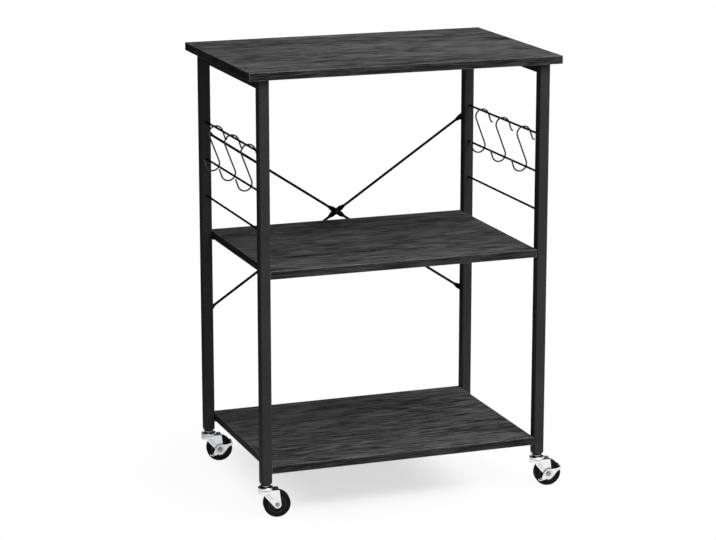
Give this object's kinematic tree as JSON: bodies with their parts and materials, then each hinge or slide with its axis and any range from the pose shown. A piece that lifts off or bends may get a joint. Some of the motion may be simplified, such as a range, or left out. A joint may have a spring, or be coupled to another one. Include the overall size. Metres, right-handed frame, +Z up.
{
  "type": "serving cart",
  "caption": "Serving cart with a top board and shelf boards in a square tube frame, side rods with hooks, a cross brace and swivel casters.",
  "frame": {"origin": "middle of the floor area that the whole cart covers, on the floor under the wheels", "axes": "+Z up, +X to the right as seen by the user, +Y away from the user; the cross brace is at +Y"},
  "size_m": [0.6176, 0.4014, 0.823],
  "materials": {
    "board": "black oak laminate, satin",
    "frame_paint": "black powder coat, satin",
    "screw_black": "black zinc plate",
    "steel": "bright steel",
    "plug": "moulded black plastic",
    "zinc": "bright zinc plate",
    "hub": "moulded black plastic",
    "tyre": "black rubber, matt",
    "hook_wire": "glossy black dip coat"
  },
  "bodies": {
    "cart": {"top_board": "board", "middle_shelf": "board", "bottom_shelf": "board", "leg_front_left": "frame_paint", "leg_front_right": "frame_paint", "leg_back_left": "frame_paint", "leg_back_right": "frame_paint", "top_rail_left": "frame_paint", "top_rail_right": "frame_paint", "rod_left_lower": "frame_paint", "rod_left_middle": "frame_paint", "rod_left_upper": "frame_paint", "rod_right_lower": "frame_paint", "rod_right_middle": "frame_paint", "rod_right_upper": "frame_paint", "brace_bar_falling": "frame_paint", "brace_bar_rising": "frame_paint", "shelf_tabs": "frame_paint", "brace_screws": "screw_black", "shelf_screws": "screw_black", "top_board_screws": "screw_black", "brace_rivet": "screw_black", "brace_rivet_nuts": "steel", "leg_plug_front_left": "plug", "leg_plug_front_right": "plug", "leg_plug_back_left": "plug", "leg_plug_back_right": "plug", "caster_stem_front_left": "zinc", "caster_stem_front_right": "zinc", "caster_stem_back_left": "zinc", "caster_stem_back_right": "zinc"},
    "swivel_front_left": {"caster_fork_front_left": "zinc", "caster_axle_front_left": "zinc", "caster_balls_front_left": "steel"},
    "wheel_front_left": {"wheel_hub_front_left": "hub", "wheel_tyre_front_left": "tyre"},
    "swivel_front_right": {"caster_fork_front_right": "zinc", "caster_axle_front_right": "zinc", "caster_balls_front_right": "steel"},
    "wheel_front_right": {"wheel_hub_front_right": "hub", "wheel_tyre_front_right": "tyre"},
    "brake_front_right": {"brake_lever_front_right": "zinc"},
    "swivel_back_left": {"caster_fork_back_left": "zinc", "caster_axle_back_left": "zinc", "caster_balls_back_left": "steel"},
    "wheel_back_left": {"wheel_hub_back_left": "hub", "wheel_tyre_back_left": "tyre"},
    "brake_back_left": {"brake_lever_back_left": "zinc"},
    "swivel_back_right": {"caster_fork_back_right": "zinc", "caster_axle_back_right": "zinc", "caster_balls_back_right": "steel"},
    "wheel_back_right": {"wheel_hub_back_right": "hub", "wheel_tyre_back_right": "tyre"},
    "hook_left_front": {"hook_left_front": "hook_wire"},
    "hook_left_middle": {"hook_left_middle": "hook_wire"},
    "hook_left_back": {"hook_left_back": "hook_wire"},
    "hook_right_front": {"hook_right_front": "hook_wire"},
    "hook_right_middle": {"hook_right_middle": "hook_wire"},
    "hook_right_back": {"hook_right_back": "hook_wire"}
  },
  "joints": [
    {"name": "swivel_front_left", "type": "hinge", "parent": "cart", "child": "swivel_front_left", "pos_m": [-0.27878, -0.17932, 0.0526], "axis": [0, 0, 1], "continuous": true},
    {"name": "wheel_front_left", "type": "hinge", "parent": "swivel_front_left", "child": "wheel_front_left", "pos_m": [-0.25908, -0.18279, 0.025], "axis": [0.1736, 0.9848, 0], "continuous": true},
    {"name": "swivel_front_right", "type": "hinge", "parent": "cart", "child": "swivel_front_right", "pos_m": [0.26122, -0.17932, 0.0526], "axis": [0, 0, 1], "continuous": true},
    {"name": "wheel_front_right", "type": "hinge", "parent": "swivel_front_right", "child": "wheel_front_right", "pos_m": [0.28092, -0.18279, 0.025], "axis": [0.1736, 0.9848, 0], "continuous": true},
    {"name": "brake_front_right", "type": "hinge", "parent": "swivel_front_right", "child": "brake_front_right", "pos_m": [0.28092, -0.18279, 0.025], "axis": [0.1736, 0.9848, 0], "range_deg": [0, 18]},
    {"name": "swivel_back_left", "type": "hinge", "parent": "cart", "child": "swivel_back_left", "pos_m": [-0.27878, 0.18068, 0.0526], "axis": [0, 0, 1], "continuous": true},
    {"name": "wheel_back_left", "type": "hinge", "parent": "swivel_back_left", "child": "wheel_back_left", "pos_m": [-0.25908, 0.17721, 0.025], "axis": [0.1736, 0.9848, 0], "continuous": true},
    {"name": "brake_back_left", "type": "hinge", "parent": "swivel_back_left", "child": "brake_back_left", "pos_m": [-0.25908, 0.17721, 0.025], "axis": [0.1736, 0.9848, 0], "range_deg": [0, 18]},
    {"name": "swivel_back_right", "type": "hinge", "parent": "cart", "child": "swivel_back_right", "pos_m": [0.26122, 0.18068, 0.0526], "axis": [0, 0, 1], "continuous": true},
    {"name": "wheel_back_right", "type": "hinge", "parent": "swivel_back_right", "child": "wheel_back_right", "pos_m": [0.28092, 0.17721, 0.025], "axis": [0.1736, 0.9848, 0], "continuous": true},
    {"name": "hook_left_front", "type": "hinge", "parent": "cart", "child": "hook_left_front", "pos_m": [-0.27878, -0.09932, 0.674], "axis": [0, -1, 0], "range_deg": [0, 14]},
    {"name": "hook_left_middle", "type": "hinge", "parent": "cart", "child": "hook_left_middle", "pos_m": [-0.27878, 0.00068, 0.674], "axis": [0, -1, 0], "range_deg": [0, 14]},
    {"name": "hook_left_back", "type": "hinge", "parent": "cart", "child": "hook_left_back", "pos_m": [-0.27878, 0.10068, 0.674], "axis": [0, -1, 0], "range_deg": [0, 14]},
    {"name": "hook_right_front", "type": "hinge", "parent": "cart", "child": "hook_right_front", "pos_m": [0.26122, -0.09932, 0.674], "axis": [0, -1, 0], "range_deg": [0, 14]},
    {"name": "hook_right_middle", "type": "hinge", "parent": "cart", "child": "hook_right_middle", "pos_m": [0.26122, 0.00068, 0.674], "axis": [0, -1, 0], "range_deg": [0, 14]},
    {"name": "hook_right_back", "type": "hinge", "parent": "cart", "child": "hook_right_back", "pos_m": [0.26122, 0.10068, 0.674], "axis": [0, -1, 0], "range_deg": [0, 14]}
  ]
}
